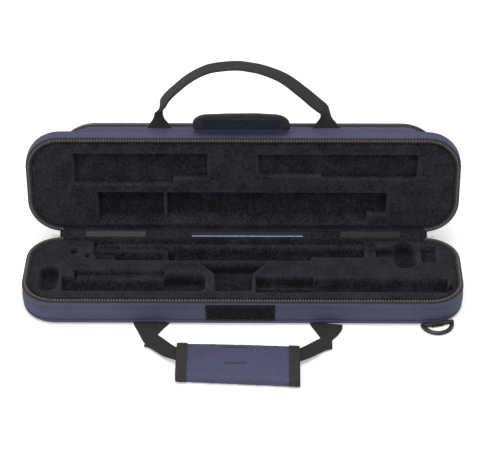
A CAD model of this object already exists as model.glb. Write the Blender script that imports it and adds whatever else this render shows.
"""Looks of a slim zipped case for a flute in three joints, standing open on a table."""

import math
import random

import bmesh
import bpy
import numpy as np
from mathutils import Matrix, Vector


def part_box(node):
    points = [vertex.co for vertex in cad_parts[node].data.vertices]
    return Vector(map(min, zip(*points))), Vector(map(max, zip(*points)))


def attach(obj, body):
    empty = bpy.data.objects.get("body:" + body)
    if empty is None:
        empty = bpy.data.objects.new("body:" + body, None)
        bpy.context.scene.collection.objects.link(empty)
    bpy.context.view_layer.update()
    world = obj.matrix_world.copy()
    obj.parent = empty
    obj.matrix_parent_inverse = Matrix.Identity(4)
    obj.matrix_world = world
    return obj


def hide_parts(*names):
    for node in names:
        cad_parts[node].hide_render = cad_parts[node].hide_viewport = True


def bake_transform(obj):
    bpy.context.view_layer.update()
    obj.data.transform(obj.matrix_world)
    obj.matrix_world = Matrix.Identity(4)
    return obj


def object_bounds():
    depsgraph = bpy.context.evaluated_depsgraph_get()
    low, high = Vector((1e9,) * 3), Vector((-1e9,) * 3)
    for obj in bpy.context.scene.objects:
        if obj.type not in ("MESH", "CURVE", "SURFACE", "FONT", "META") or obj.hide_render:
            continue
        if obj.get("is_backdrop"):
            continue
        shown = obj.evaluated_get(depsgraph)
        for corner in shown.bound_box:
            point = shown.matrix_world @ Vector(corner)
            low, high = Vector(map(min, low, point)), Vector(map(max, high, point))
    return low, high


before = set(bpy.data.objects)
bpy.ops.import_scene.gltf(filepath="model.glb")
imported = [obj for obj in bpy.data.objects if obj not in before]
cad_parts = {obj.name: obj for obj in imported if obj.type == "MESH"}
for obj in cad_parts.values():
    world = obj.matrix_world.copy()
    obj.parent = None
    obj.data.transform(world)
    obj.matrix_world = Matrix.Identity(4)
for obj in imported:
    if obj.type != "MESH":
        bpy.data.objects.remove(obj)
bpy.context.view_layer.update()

# ---------------------------------------------------------------- stiffener boards
# Two trays of pressed fibreboard give the base and the lid their shape. They are
# glued between the cloth and the plush, so only their cut edges could ever be seen.


def new_finish(name, colour, roughness, sheen=0.0, sheen_tint=(1, 1, 1), metallic=0.0):
    """A material whose shader has its plain values set, with its nodes and shader."""
    material = bpy.data.materials.new(name)
    material.use_nodes = True
    tree = material.node_tree
    shader = tree.nodes["Principled BSDF"]
    shader.inputs["Base Color"].default_value = (*colour, 1)
    shader.inputs["Roughness"].default_value = roughness
    shader.inputs["Metallic"].default_value = metallic
    shader.inputs["Sheen Weight"].default_value = sheen
    shader.inputs["Sheen Roughness"].default_value = 0.45
    shader.inputs["Sheen Tint"].default_value = (*sheen_tint, 1)
    return material, tree, shader


def grain(tree, size, detail=2.0, stretch=(1, 1, 1)):
    """Noise whose patches are about size metres across, drawn out along an axis by stretch."""
    place = tree.nodes.new("ShaderNodeTexCoord")
    turn = tree.nodes.new("ShaderNodeMapping")
    turn.inputs["Scale"].default_value = stretch
    noise = tree.nodes.new("ShaderNodeTexNoise")
    noise.inputs["Scale"].default_value = 1 / size
    noise.inputs["Detail"].default_value = detail
    tree.links.new(place.outputs["Object"], turn.inputs["Vector"])
    tree.links.new(turn.outputs["Vector"], noise.inputs["Vector"])
    return noise.outputs["Fac"]


def shade_between(tree, shader, factor, colour, dark, light):
    """Takes the surface from a dark to a light share of the colour as factor goes from 0.3 to 0.7."""
    ramp = tree.nodes.new("ShaderNodeValToRGB")
    for stop, position, share in zip(ramp.color_ramp.elements, (0.3, 0.7), (dark, light)):
        stop.position = position
        stop.color = (*(channel * share for channel in colour), 1)
    tree.links.new(factor, ramp.inputs["Fac"])
    tree.links.new(ramp.outputs["Color"], shader.inputs["Base Color"])


def raise_relief(tree, shader, height, depth, strength=1.0):
    bump = tree.nodes.new("ShaderNodeBump")
    bump.inputs["Distance"].default_value = depth
    bump.inputs["Strength"].default_value = strength
    tree.links.new(height, bump.inputs["Height"])
    tree.links.new(bump.outputs["Normal"], shader.inputs["Normal"])


def make_flecked(name, colour, roughness, fleck, shades, relief, stretch=(1, 1, 1), **more):
    """A finish with one noise. fleck is its size and detail, shades its dark and light share."""
    material, tree, shader = new_finish(name, colour, roughness, **more)
    flecks = grain(tree, *fleck, stretch)
    shade_between(tree, shader, flecks, colour, *shades)
    raise_relief(tree, shader, flecks, relief)
    return material


def dress(nodes, material):
    """Gives CAD nodes that stay in view their finish."""
    for node in nodes:
        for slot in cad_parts[node].material_slots:
            slot.material = material


fibreboard = make_flecked("fibreboard", (0.18, 0.14, 0.10), 0.85, (0.0012, 4.0), (0.7, 1), 0.0002,
                          stretch=(1, 1, 3))
dress(("base_board", "lid_board"), fibreboard)

# ---------------------------------------------------------------- base: cloth wall and bottom
# The outside is padded nylon cloth. A straight wall goes round the case under the
# zip, and it is sewn in a pinched seam to a bottom panel whose edge rolls upward.

MM = 0.001
CASE_LENGTH = 0.440
CASE_DEPTH = 0.108
CORNER = 0.035
BASE_HEIGHT = 0.0285
SEAM_HEIGHT = 0.007
RIM_SEAM = 0.0214
CLOTH = 0.0012
NAVY = (0.052, 0.057, 0.108)


def walk(start, heading, moves, step=0.0024):
    """Stations along straight runs and left-hand turns: x, y, outward x, outward y, distance.

    A move is (length,) for a run, or (radius, degrees) for a turn.
    """
    x, y = start
    distance = 0.0
    stations = []
    for move in moves:
        if len(move) == 1:
            span = move[0]
            count = max(1, round(span / step))
            dx, dy = math.cos(math.radians(heading)), math.sin(math.radians(heading))
            for k in range(count):
                along = span * k / count
                stations.append((x + dx * along, y + dy * along, dy, -dx, distance + along))
            x, y = x + dx * span, y + dy * span
        else:
            radius, degrees = move
            span = radius * math.radians(degrees)
            count = max(6, round(span / step))
            side = math.radians(heading + 90)
            cx, cy = x + radius * math.cos(side), y + radius * math.sin(side)
            for k in range(count + 1):
                a = math.radians(heading - 90 + degrees * k / count)
                nx, ny = math.cos(a), math.sin(a)
                point = (cx + radius * nx, cy + radius * ny)
                if k < count:
                    stations.append((*point, nx, ny, distance + span * k / count))
            x, y = point
            heading += degrees
        distance += span
    dx, dy = math.cos(math.radians(heading)), math.sin(math.radians(heading))
    stations.append((x, y, dy, -dx, distance))
    return np.array(stations)


def rounded_path(length, depth, corner, inset, with_rear, step=0.0024, middle=0.0):
    """A rounded rectangle from its rear left corner round the front, set in by inset."""
    radius = corner - inset
    length, depth = length - 2 * corner, depth - 2 * corner
    moves = [(radius, 90), (depth,), (radius, 90), (length,), (radius, 90), (depth,), (radius, 90)]
    if with_rear:
        moves.append((length,))
    return walk((middle - length / 2, depth / 2 + corner - inset), 180, moves, step)


def rim_path(inset=0.0, with_rear=True, step=0.0024):
    return rounded_path(CASE_LENGTH, CASE_DEPTH, CORNER, inset, with_rear, step)


def lengths(points):
    """How far along the line through them the points lie."""
    return np.concatenate([[0], np.cumsum(np.linalg.norm(np.diff(points, axis=0), axis=1))])


def skin(rings, size, u, v, closed=False, cap=None):
    """Faces and uvs over rings of size points, with u from ring to ring and v round a ring.

    An open row of rings has its two ends capped, and cap holds the uvs of an end.
    """
    faces, uvs = [], []
    for i in range(rings if closed else rings - 1):
        j = (i + 1) % rings
        for k in range(size):
            m = (k + 1) % size
            faces.append((i * size + k, j * size + k, j * size + m, i * size + m))
            uvs.append(((u[i], v[k]), (u[i + 1], v[k]), (u[i + 1], v[k + 1]), (u[i], v[k + 1])))
    if not closed:
        for first in (0, (rings - 1) * size):
            faces.append(tuple(range(first, first + size)))
            uvs.append(cap or [(0, 0)] * size)
    return faces, uvs


def sweep(path, section, closed_path=True, swell=None):
    """Carries a closed section of (out, up) points along the path.

    swell, if given, takes the distances and the section and returns extra outward moves.
    """
    section = np.array(section, float)
    stations = path[:-1] if closed_path else path
    out = np.tile(section[:, 0], (len(stations), 1))
    if swell is not None:
        out = out + swell(stations[:, 4], section)
    verts = np.empty((*out.shape, 3))
    verts[:, :, 0] = stations[:, 0, None] + stations[:, 2, None] * out
    verts[:, :, 1] = stations[:, 1, None] + stations[:, 3, None] * out
    verts[:, :, 2] = section[None, :, 1]
    around = lengths(np.vstack([section, section[:1]]))
    cap = list(map(tuple, section))
    return verts.reshape(-1, 3), *skin(*out.shape, path[:, 4], around, closed_path, cap)


def join_shapes(*shapes):
    """Several (vertices, faces, uvs) as one."""
    verts, faces, uvs, start = [], [], [], 0
    for shape_verts, shape_faces, shape_uvs in shapes:
        verts.append(np.asarray(shape_verts, float))
        faces += [tuple(v + start for v in face) for face in shape_faces]
        uvs += list(shape_uvs)
        start += len(shape_verts)
    return np.vstack(verts), faces, uvs


def make_piece(name, shape, material, body=None, stands_for=()):
    """Makes the object, turns its faces outward and lets it ride on its body."""
    verts, faces, uvs = shape
    mesh = bpy.data.meshes.new(name)
    mesh.from_pydata([tuple(v) for v in verts], [], faces)
    layer = mesh.uv_layers.new(name="cloth")
    layer.data.foreach_set("uv", [value for face in uvs for corner in face for value in corner])
    built = bmesh.new()
    built.from_mesh(mesh)
    bmesh.ops.recalc_face_normals(built, faces=built.faces)
    built.to_mesh(mesh)
    built.free()
    mesh.shade_smooth()
    mesh.set_sharp_from_angle(angle=math.radians(55))
    mesh.materials.append(material)
    piece = bpy.data.objects.new(name, mesh)
    bpy.context.scene.collection.objects.link(piece)
    if stands_for:
        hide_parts(*stands_for)
    if body:
        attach(piece, body)
    return piece


def arithmetic(tree, operation, first, second):
    """One Math node. Each input is a socket or a number."""
    node = tree.nodes.new("ShaderNodeMath")
    node.operation = operation
    for place, value in enumerate((first, second)):
        if isinstance(value, (int, float)):
            node.inputs[place].default_value = value
        else:
            tree.links.new(value, node.inputs[place])
    return node.outputs[0]


def weighted(tree, *parts):
    """The sum of some sockets, each with its weight."""
    terms = [arithmetic(tree, "MULTIPLY", socket, weight) for socket, weight in parts]
    result = terms[0]
    for term in terms[1:]:
        result = arithmetic(tree, "ADD", result, term)
    return result


def threads(tree, pitch, along_u):
    """Ridges a pitch apart on the cloth's own u or v direction."""
    place = tree.nodes.new("ShaderNodeTexCoord")
    wave = tree.nodes.new("ShaderNodeTexWave")
    wave.wave_type = "BANDS"
    wave.bands_direction = "X" if along_u else "Y"
    wave.inputs["Scale"].default_value = math.pi / 10 / pitch
    tree.links.new(place.outputs["UV"], wave.inputs["Vector"])
    return wave.outputs["Fac"]


def make_woven(name, colour, pitch, relief, roughness, sheen=0.08):
    """Plain weave: crossed threads, slubs drawn out along the weft, and slow changes in the dye."""
    material, tree, shader = new_finish(name, colour, roughness, sheen, (0.6, 0.62, 0.75))
    shader.inputs["Specular IOR Level"].default_value = 0.3
    weave = arithmetic(tree, "MULTIPLY", threads(tree, pitch, True), threads(tree, pitch, False))
    fibres = grain(tree, 0.0009, 3.0)
    slubs = grain(tree, 0.0016, 3.0, (0.45, 1, 1))
    dye = grain(tree, 0.03, 2.0)
    shade_between(tree, shader, weighted(tree, (fibres, 0.4), (slubs, 0.4), (dye, 0.2)), colour, 0.62, 1.38)
    raise_relief(tree, shader, weighted(tree, (weave, 1.0), (fibres, 0.8)), relief)
    return material


def puckers(amount, seams, reach):
    """Small gathers of cloth beside seams at the given heights, as a swell for sweep."""

    def swell(distances, section):
        wave = (np.sin(distances * 310) + np.sin(distances * 517 + 1.3)
                + 0.8 * np.sin(distances * 163 + 0.4)) / 2.8
        near = sum(np.exp(-((section[:, 1] - z) / reach) ** 2) for z in seams)
        outside = (section[:, 0] > -CLOTH * 0.7).astype(float)
        return amount * wave[:, None] * (near * outside)[None, :]

    return swell


def in_metres(section):
    return [(out * MM, up * MM) for out, up in section]


nylon = make_woven("nylon_cloth", NAVY, 0.00055, 0.00012, 0.62)

wall_section = in_metres((
    (-1.1, 7.0), (-0.8, 7.5), (-0.1, 8.3), (0.3, 9.6), (0.45, 12), (0.5, 15), (0.4, 18), (0.15, 20.3),
    (-0.12, 21.4), (0.12, 22.4), (0.3, 24.5), (0.2, 26.8), (-0.25, 28.1), (-0.7, 28.5)))
wall_section += [(-CLOTH, BASE_HEIGHT), (-CLOTH, SEAM_HEIGHT)]
wall = sweep(rim_path(), wall_section, swell=puckers(0.0002, (SEAM_HEIGHT, RIM_SEAM), 0.004))
make_piece("base_wall", wall, nylon, "base", ["base_cover"])

BOTTOM_CLOTH = 0.0011
BOTTOM_REACH = 0.034
MIDDLE_IN = 0.0335
bottom_section = [(-0.0009, SEAM_HEIGHT), (-0.0002, 0.0066)]
bottom_section += [(-SEAM_HEIGHT * (1 - math.cos(a)), SEAM_HEIGHT * (1 - math.sin(a)))
                   for a in np.linspace(0, math.pi / 2, 12)[1:]]
bottom_section += [(-0.014, 0.0), (-0.024, 0.0), (-BOTTOM_REACH, 0.0), (-BOTTOM_REACH, BOTTOM_CLOTH),
                   (-0.020, BOTTOM_CLOTH)]
bottom_section += [(-CLOTH - (SEAM_HEIGHT - CLOTH) * (1 - math.cos(a)),
                    SEAM_HEIGHT - (SEAM_HEIGHT - CLOTH) * math.sin(a))
                   for a in np.linspace(math.pi / 2, 0, 8)]


def bottom_middle():
    """The flat cloth inside the swept edge, as two faces with the cloth's thickness."""
    ring = rim_path(MIDDLE_IN, step=0.004)[:-1, :2]
    verts = [(x, y, up) for up in (0.0, BOTTOM_CLOTH) for x, y in ring]
    return verts, *skin(2, len(ring), (0, 0.001), np.zeros(len(ring) + 1), cap=list(map(tuple, ring)))


make_piece("base_bottom", join_shapes(sweep(rim_path(), bottom_section), bottom_middle()),
           nylon, "base", ["base_bottom_panel"])

# ---------------------------------------------------------------- seam stitching
# Rows of lockstitch in dark navy thread hold the cloth to the padding behind it,
# one below the base's rim and one on each side of the lid's seams.


def make_thread(name, colour):
    return make_flecked(name, colour, 0.5, (0.0003, 1.0), (0.5, 1), 0.0001, (1, 1, 2), sheen=0.2)


def stitch_row(points, normals, length=0.0022, gap=0.0011, thick=0.00025):
    """Short thread lozenges laid along a line of points, each raised along its normal."""
    points, normals = np.array(points, float), np.array(normals, float)
    reach = lengths(points)

    def between(values, distance):
        return np.array([np.interp(distance, reach, values[:, axis]) for axis in range(3)])

    verts, faces, uvs = [], [], []
    start = gap
    while start + length < reach[-1]:
        ends = [between(points, start + share * length) for share in (0, 0.2, 0.8, 1)]
        up = between(normals, start + length / 2)
        up /= np.linalg.norm(up)
        side = np.cross(ends[3] - ends[0], up)
        side *= thick / np.linalg.norm(side)
        rise = up * thick
        first = len(verts)
        verts.append(ends[0] - rise * 0.4)
        for centre in ends[1:3]:
            verts += [centre + side, centre + rise, centre - side, centre - rise * 0.4]
        verts.append(ends[3] - rise * 0.4)
        for k in range(4):
            m = (k + 1) % 4
            faces += [(first, first + 1 + k, first + 1 + m),
                      (first + 1 + k, first + 5 + k, first + 5 + m, first + 1 + m),
                      (first + 9, first + 5 + m, first + 5 + k)]
            uvs += [[(0, 0)] * 3, [(0, 0)] * 4, [(0, 0)] * 3]
        start += length + gap
    return np.array(verts), faces, uvs


def seam_line(path, out, up):
    """A line along a path at one height, with its outward normals, for a row of stitches."""
    points = np.column_stack([path[:, 0] + path[:, 2] * out, path[:, 1] + path[:, 3] * out,
                              np.full(len(path), up)])
    normals = np.column_stack([path[:, 2], path[:, 3], np.zeros(len(path))])
    return points, normals


navy_thread = make_thread("navy_thread", (0.012, 0.013, 0.026))
for seam, out, up, stitch, gap in (("rim", -0.00004, RIM_SEAM, 0.0024, 0.0015),
                                   ("seam", -0.0005, 0.00715, 0.003, 0.0004)):
    make_piece(f"base_{seam}_stitches", stitch_row(*seam_line(rim_path(), out, up), stitch, gap, 0.0003),
               navy_thread, "base")

# ---------------------------------------------------------------- zip halves
# A black coil zip runs round three sides. Each half is a knitted tape sewn behind
# the cloth, with a row of nylon coils along its edge. The lid carries the mate.

TAPE_IN = 0.0013
TAPE = 0.0008
TAPE_REACH = 0.009
CHAIN_HEIGHT = 0.00235
CHAIN_IN = 0.0005
CHAIN_WIDTH = 0.0034
COIL_SET_IN = 0.0010
COIL_PITCH = 0.0029
COIL_SIDES = 14
HINGE_Y = 0.0565
HINGE_Z = 0.031
OPEN_ANGLE = math.radians(96)
LID_RIM = BASE_HEIGHT + 2 * CHAIN_HEIGHT + 0.0003
BLACK_TAPE = (0.017, 0.017, 0.0165)
COIL_GREY = (0.088, 0.087, 0.082)


def opened(points):
    """Turns points drawn on the closed lid to where the lid stands."""
    points = np.asarray(points, float)
    y, z = points[..., 1] - HINGE_Y, points[..., 2] - HINGE_Z
    c, s = math.cos(OPEN_ANGLE), math.sin(OPEN_ANGLE)
    turned = points.copy()
    turned[..., 1] = HINGE_Y + y * c + z * s
    turned[..., 2] = HINGE_Z - y * s + z * c
    return turned


def on_lid(shape):
    verts, faces, uvs = shape
    return opened(verts), faces, uvs


def make_ribbed(name, colour, pitch, relief, roughness=0.7, along_u=True):
    """Narrow black woven tape: ribs across it, crossed by finer threads."""
    material, tree, shader = new_finish(name, colour, roughness, 0.05, (0.7, 0.7, 0.72))
    shader.inputs["Specular IOR Level"].default_value = 0.3
    ribs = threads(tree, pitch, along_u)
    fine = threads(tree, pitch * 0.6, not along_u)
    wear = grain(tree, 0.006, 4.0)
    shade_between(tree, shader, weighted(tree, (ribs, 0.35), (wear, 0.65)), colour, 0.65, 1.35)
    raise_relief(tree, shader, weighted(tree, (ribs, 1.0), (fine, 0.4)), relief)
    return material


def coil_section(scale):
    """Round-topped loop of one coil, (out, up) from the rim, shrunk about its middle by scale."""
    half_w, half_h = (CHAIN_WIDTH - COIL_SET_IN) / 2 * scale, CHAIN_HEIGHT / 2 * scale
    middle = -CHAIN_IN - (CHAIN_WIDTH + COIL_SET_IN) / 2
    points = []
    for a in np.linspace(0, 2 * math.pi, COIL_SIDES, endpoint=False):
        c, s = math.cos(a), math.sin(a)
        points.append((middle + half_w * math.copysign(abs(c) ** 0.7, c),
                       CHAIN_HEIGHT / 2 + half_h * math.copysign(abs(s) ** 0.8, s)))
    return points


def across_path(path, distance, points):
    """Carries (out, up) points to one place on the path."""
    x, y, nx, ny = (np.interp(distance, path[:, 4], path[:, k]) for k in range(4))
    return [(x + nx * out, y + ny * out, up) for out, up in points]


def plain_tube(rings):
    """A capped tube through rings of points, for finishes that use no uvs."""
    rings = np.array(rings, float)
    count, size = rings.shape[:2]
    return rings.reshape(-1, 3), *skin(count, size, [0] * count, [0] * (size + 1))


def from_rim(section, rim, direction):
    """A section drawn from the rim, standing up (1) or hanging down (-1) from it."""
    return [(out, rim + direction * up) for out, up in section]


def coil_row(rim, direction):
    """One coil after another along the open rim."""
    rings = [(share * COIL_PITCH, from_rim(coil_section(scale), rim, direction))
             for share, scale in ((-0.29, 0.74), (-0.2, 0.98), (0.2, 0.98), (0.29, 0.74))]
    return join_shapes(*(plain_tube([across_path(open_rim, (n + 0.5) * COIL_PITCH + shift, ring)
                                     for shift, ring in rings])
                         for n in range(int(open_rim[-1, 4] / COIL_PITCH))))


def tape_half(rim, direction):
    """The flat tape behind the cloth and its rolled edge."""
    return join_shapes(*(sweep(open_rim, from_rim(section, rim, direction), False)
                         for section in (flat_tape, tape_roll)))


zip_tape = make_ribbed("zip_tape_black", BLACK_TAPE, 0.0007, 0.0001)
coil_nylon = make_flecked("zip_coil_nylon", COIL_GREY, 0.42, (0.004, 4.0), (0.7, 1.3), 0.00005)
open_rim = rim_path(with_rear=False)

flat_tape = [(-TAPE_IN, -TAPE_REACH), (-TAPE_IN, -0.0001), (-TAPE_IN - TAPE, -0.0001),
             (-TAPE_IN - TAPE, -TAPE_REACH)]
# the tape's edge rolls over the rim and carries the coils on a woven cord
tape_roll = in_metres((
    (-0.1, -0.1), (-0.1, 0.5), (-0.4, 1.1), (-0.9, 1.45), (-1.5, 1.5), (-2.3, 1.65), (-3.1, 1.5),
    (-3.65, 0.9), (-3.8, 0.35), (-5.6, 0.2), (-5.6, -0.05)))
make_piece("base_tape", tape_half(BASE_HEIGHT, 1), zip_tape, "base", ["base_zip_tape"])
make_piece("base_coils", coil_row(BASE_HEIGHT, 1), coil_nylon, "base", ["base_zip_chain"])
make_piece("lid_tape", on_lid(tape_half(LID_RIM, -1)), zip_tape, "lid", ["lid_zip_tape"])
make_piece("lid_coils", on_lid(coil_row(LID_RIM, -1)), coil_nylon, "lid", ["lid_zip_chain"])

# ---------------------------------------------------------------- moulded plush inserts
# Foam trays covered in short black plush. The base's tray is moulded to the three
# joints of the flute, with wells for the fingers, and the lid's to their keys.

PLUSH_TOP = 0.0293
PLUSH_FLOOR = 0.0045
LID_PLUSH = 0.0327
LID_PLUSH_BACK = 0.0462
# the rest of the insert's sizes are in millimetres
INSERT_IN = 4.3
INSERT_ROLL = 4.4
EDGE_DROP = 3.0
BASE_LIP = 4.5
LID_LIP = 2.2
LIP_STRETCH = 2.2
LIP_RISE = 0.15
LEFT, RIGHT = -220.0, 220.0
FRONT, REAR = -54.0, 54.0
PLUSH_BLACK = (0.0125, 0.0118, 0.0150)


def make_plush():
    """Short pile, brushed one way and the other in patches a few millimetres across."""
    material, tree, shader = new_finish("plush_lining", PLUSH_BLACK, 0.95, 0.13, (0.52, 0.50, 0.58))
    shader.inputs["Sheen Roughness"].default_value = 0.55
    shader.inputs["Specular IOR Level"].default_value = 0.08
    brushed = grain(tree, 0.017, 3.0)
    tufts = grain(tree, 0.0042, 4.0, (1.3, 1, 1))
    pile = grain(tree, 0.0014, 3.0, (0.75, 1, 1))
    crushed = tree.nodes.new("ShaderNodeAttribute")
    crushed.attribute_name = "pressed"
    nap = weighted(tree, (brushed, 0.5), (tufts, 0.35), (pile, 0.95), (crushed.outputs["Fac"], -0.11))
    shade_between(tree, shader, arithmetic(tree, "SUBTRACT", nap, 0.39), PLUSH_BLACK, 0.22, 2.1)
    raise_relief(tree, shader, weighted(tree, (tufts, 1.6), (pile, 1.0)), 0.0007, 0.8)
    return material


def blurred(values, cells):
    """A grid of values smoothed over some cells each way."""
    width = math.ceil(3 * cells)
    weights = np.exp(-(np.arange(-width, width + 1) / cells) ** 2 / 2)
    weights /= weights.sum()
    for axis in (0, 1):
        padded = np.pad(values, [(width, width) if a == axis else (0, 0) for a in (0, 1)], mode="edge")
        values = sum(w * np.take(padded, range(k, k + values.shape[axis]), axis=axis)
                     for k, w in enumerate(weights))
    return values


def grid_faces(columns, rows):
    """Quads over a grid of points, and the points round its border."""
    index = np.arange(columns * rows).reshape(columns, rows)
    quads = np.stack([index[:-1, :-1], index[1:, :-1], index[1:, 1:], index[:-1, 1:]], -1).reshape(-1, 4)
    border = np.concatenate([index[:, 0], index[-1, 1:], index[-2::-1, -1], index[0, -2:0:-1]])
    return [tuple(map(int, quad)) for quad in quads], [int(n) for n in border]


def boxed_grid(front, columns, rows, axis, level):
    """A grid of points closed by sides and a flat back that lies at level on the axis."""
    faces, border = grid_faces(columns, rows)
    back = front[border].copy()
    back[:, axis] = level
    start, count = len(front), len(border)
    for k in range(count):
        m = (k + 1) % count
        faces.append((border[k], border[m], start + m, start + k))
    faces.append(tuple(range(start, start + count)))
    verts = np.vstack([front, back])
    flat = np.delete(verts, axis, 1)
    return verts, faces, [[tuple(flat[n]) for n in face] for face in faces]


class Mould:
    """Depths in millimetres pressed into a rounded tray, on a grid that follows its outline."""

    def __init__(self, inset, spacing=0.9, length=CASE_LENGTH, depth=CASE_DEPTH, corner=CORNER):
        self.radius = corner / MM - inset
        self.half_l = length / MM / 2 - corner / MM
        self.half_d = depth / MM / 2 - corner / MM
        turn = np.linspace(0, math.pi / 2, round(self.radius * 1.3 / spacing))
        straight = np.linspace(-self.half_l, self.half_l, round(2 * self.half_l / spacing))
        columns = np.concatenate([-self.half_l - self.radius * np.cos(turn)[:-1], straight,
                                  self.half_l + self.radius * np.cos(turn[::-1])[1:]])
        reach = self.half_d + self.radius * np.concatenate(
            [np.sin(turn)[:-1], np.ones(len(straight)), np.sin(turn[::-1])[1:]])
        rows = np.linspace(-1, 1, round(2 * (self.half_d + self.radius) / spacing))
        self.x = np.tile(columns[:, None], (1, len(rows)))
        self.y = reach[:, None] * rows[None, :]
        self.depth = np.zeros_like(self.x)

    def press(self, inside, depth):
        self.depth = np.maximum(self.depth, np.where(inside, depth, 0.0))

    def distance_outside(self, cx, cy, half_l, half_d, radius):
        """How far points lie outside a rounded rectangle, whose corners' centres are half_l, half_d out."""
        dx, dy = np.abs(self.x - cx) - half_l, np.abs(self.y - cy) - half_d
        return np.hypot(np.maximum(dx, 0), np.maximum(dy, 0)) + np.minimum(np.maximum(dx, dy), 0) - radius

    def edge_distance(self):
        """Distance in from the outline."""
        return np.maximum(-self.distance_outside(0, 0, self.half_l, self.half_d, self.radius), 0)

    def block(self, x0, x1, y0, y1, depth, corner=1.5):
        """Flat-bottomed hollow with rounded corners."""
        outside = self.distance_outside((x0 + x1) / 2, (y0 + y1) / 2, (x1 - x0) / 2 - corner,
                                        (y1 - y0) / 2 - corner, corner)
        self.press(outside <= 0, depth)

    def trough(self, x0, x1, y0, y1, depth):
        """Round-bottomed hollow along X."""
        radius = (y1 - y0) / 2
        across = np.clip(np.abs(self.y - (y0 + y1) / 2) / radius, 0, 1)
        self.press((self.x >= x0) & (self.x <= x1) & (across < 1),
                   np.maximum(depth - radius * (1 - np.sqrt(1 - across ** 2)), 0.5))

    def well(self, x, y, radius, reach, depth):
        """Oval finger hole with a bowl-shaped floor, long across the case."""
        away = np.hypot(self.x - x, self.y - np.clip(self.y, y - reach, y + reach))
        share = np.clip(away / radius, 0, 1)
        self.press(share < 1, depth - radius * (1 - np.sqrt(1 - share ** 2)))

    def outline(self, corners, depth):
        """Flat-bottomed hollow inside a polygon."""
        inside = np.zeros(self.x.shape, bool)
        for (ax, ay), (bx, by) in zip(corners, corners[1:] + corners[:1]):
            if ay != by:
                crosses = (ay > self.y) != (by > self.y)
                inside ^= crosses & (self.x < ax + (self.y - ay) * (bx - ax) / (by - ay))
        self.press(inside, depth)

    def slope(self, x0, x1, y0, y1, depth, width=9.0):
        """Hollow whose hinge side slopes up over width."""
        self.press((self.x >= x0) & (self.x <= x1) & (self.y >= y0) & (self.y <= y1),
                   np.clip((y1 - self.y) / width, 0, 1) * depth)

    def soften(self, cells=0.6):
        """Rounds the edges, as plush stretched over foam does."""
        self.depth = blurred(self.depth, cells)

    def shape(self, top, direction, floor, roll, seed, puff=0.0, drop=None, lip=0.0, rough=0.035):
        """The tray as a closed mesh: its pressed face, a rolled edge, a side and a flat back.

        direction is 1 for a face that looks up and -1 for one that looks down. The edge falls by
        drop over roll, and lip is how far it reaches out over the rear wall.
        """
        drop = roll if drop is None else drop
        distance = self.edge_distance()
        inward = np.clip((roll - distance) / roll, 0, 1)
        behind = np.clip((self.half_l + 5 - np.abs(self.x)) / 7, 0, 1) * (lip > 0)
        behind *= np.clip((self.y - (self.half_d + self.radius) + LIP_STRETCH) / LIP_STRETCH, 0, 1)
        fall = drop * (1 - behind) * (1 - np.sqrt(1 - inward ** 2))
        height = self.depth + fall - lip * LIP_RISE * behind - puff * np.clip(distance / 22, 0, 1) ** 0.5
        # the nap opens over an edge and crushes at the foot of a wall
        corners = np.clip(self.depth - blurred(self.depth, 2.2), -2.5, 3.5)
        self.pressed = np.clip(self.depth / 9, 0, 1) + 0.55 * corners + 2.6 * np.clip(fall / 0.8, 0, 1)
        height += np.random.default_rng(seed).normal(0, rough, height.shape)
        z = top - direction * height * MM
        face = np.column_stack([self.x.ravel() * MM, self.y.ravel() * MM, z.ravel()])
        verts, faces, uvs = boxed_grid(face, *self.x.shape, 2, floor)
        verts[:len(face), 1] += (lip * behind ** 2 * MM).ravel()
        return verts, faces, uvs

    def mark_crushed(self, piece):
        """Tells the plush's finish how deeply each point is pressed, because crushed pile is darker."""
        values = np.ones(len(piece.data.vertices))
        values[:self.pressed.size] = self.pressed.ravel()
        piece.data.attributes.new("pressed", "FLOAT", "POINT").data.foreach_set("value", values)


plush = make_plush()
base_mould = Mould(INSERT_IN)

# foot joint: finger well, tube trough with its key shelf, then the wide end
base_mould.well(LEFT + 26, FRONT + 39, 10.5, 9, 14)
base_mould.trough(LEFT + 39, LEFT + 143, FRONT + 19, FRONT + 43, 13)
base_mould.block(LEFT + 54, LEFT + 142, FRONT + 42, FRONT + 52, 5, 0.8)
base_mould.block(LEFT + 50, LEFT + 54.5, FRONT + 41, FRONT + 54, 8)
base_mould.block(LEFT + 140, LEFT + 183, FRONT + 19, FRONT + 48, 14, 8)

# well for small things between the joints
MIDDLE = -9.0
base_mould.outline([(MIDDLE - 19, FRONT + 19), (MIDDLE + 19, FRONT + 19), (MIDDLE + 19, FRONT + 48),
                    (MIDDLE + 33, FRONT + 66), (MIDDLE - 35, FRONT + 66), (MIDDLE - 19, FRONT + 48)], 13)

# head joint: two channels for the lip plate, the tube and a dimple at its end
base_mould.block(RIGHT - 207, RIGHT - 149, FRONT + 17.5, FRONT + 43.1, 6)
base_mould.trough(RIGHT - 207, RIGHT - 149, FRONT + 17.5, FRONT + 29.5, 11)
base_mould.trough(RIGHT - 207, RIGHT - 149, FRONT + 31.1, FRONT + 43.1, 11)
base_mould.trough(RIGHT - 149, RIGHT - 15, FRONT + 18, FRONT + 40, 12)
base_mould.well(RIGHT - 13.5, FRONT + 26.5, 3.4, 1.5, 7.5)

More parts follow.
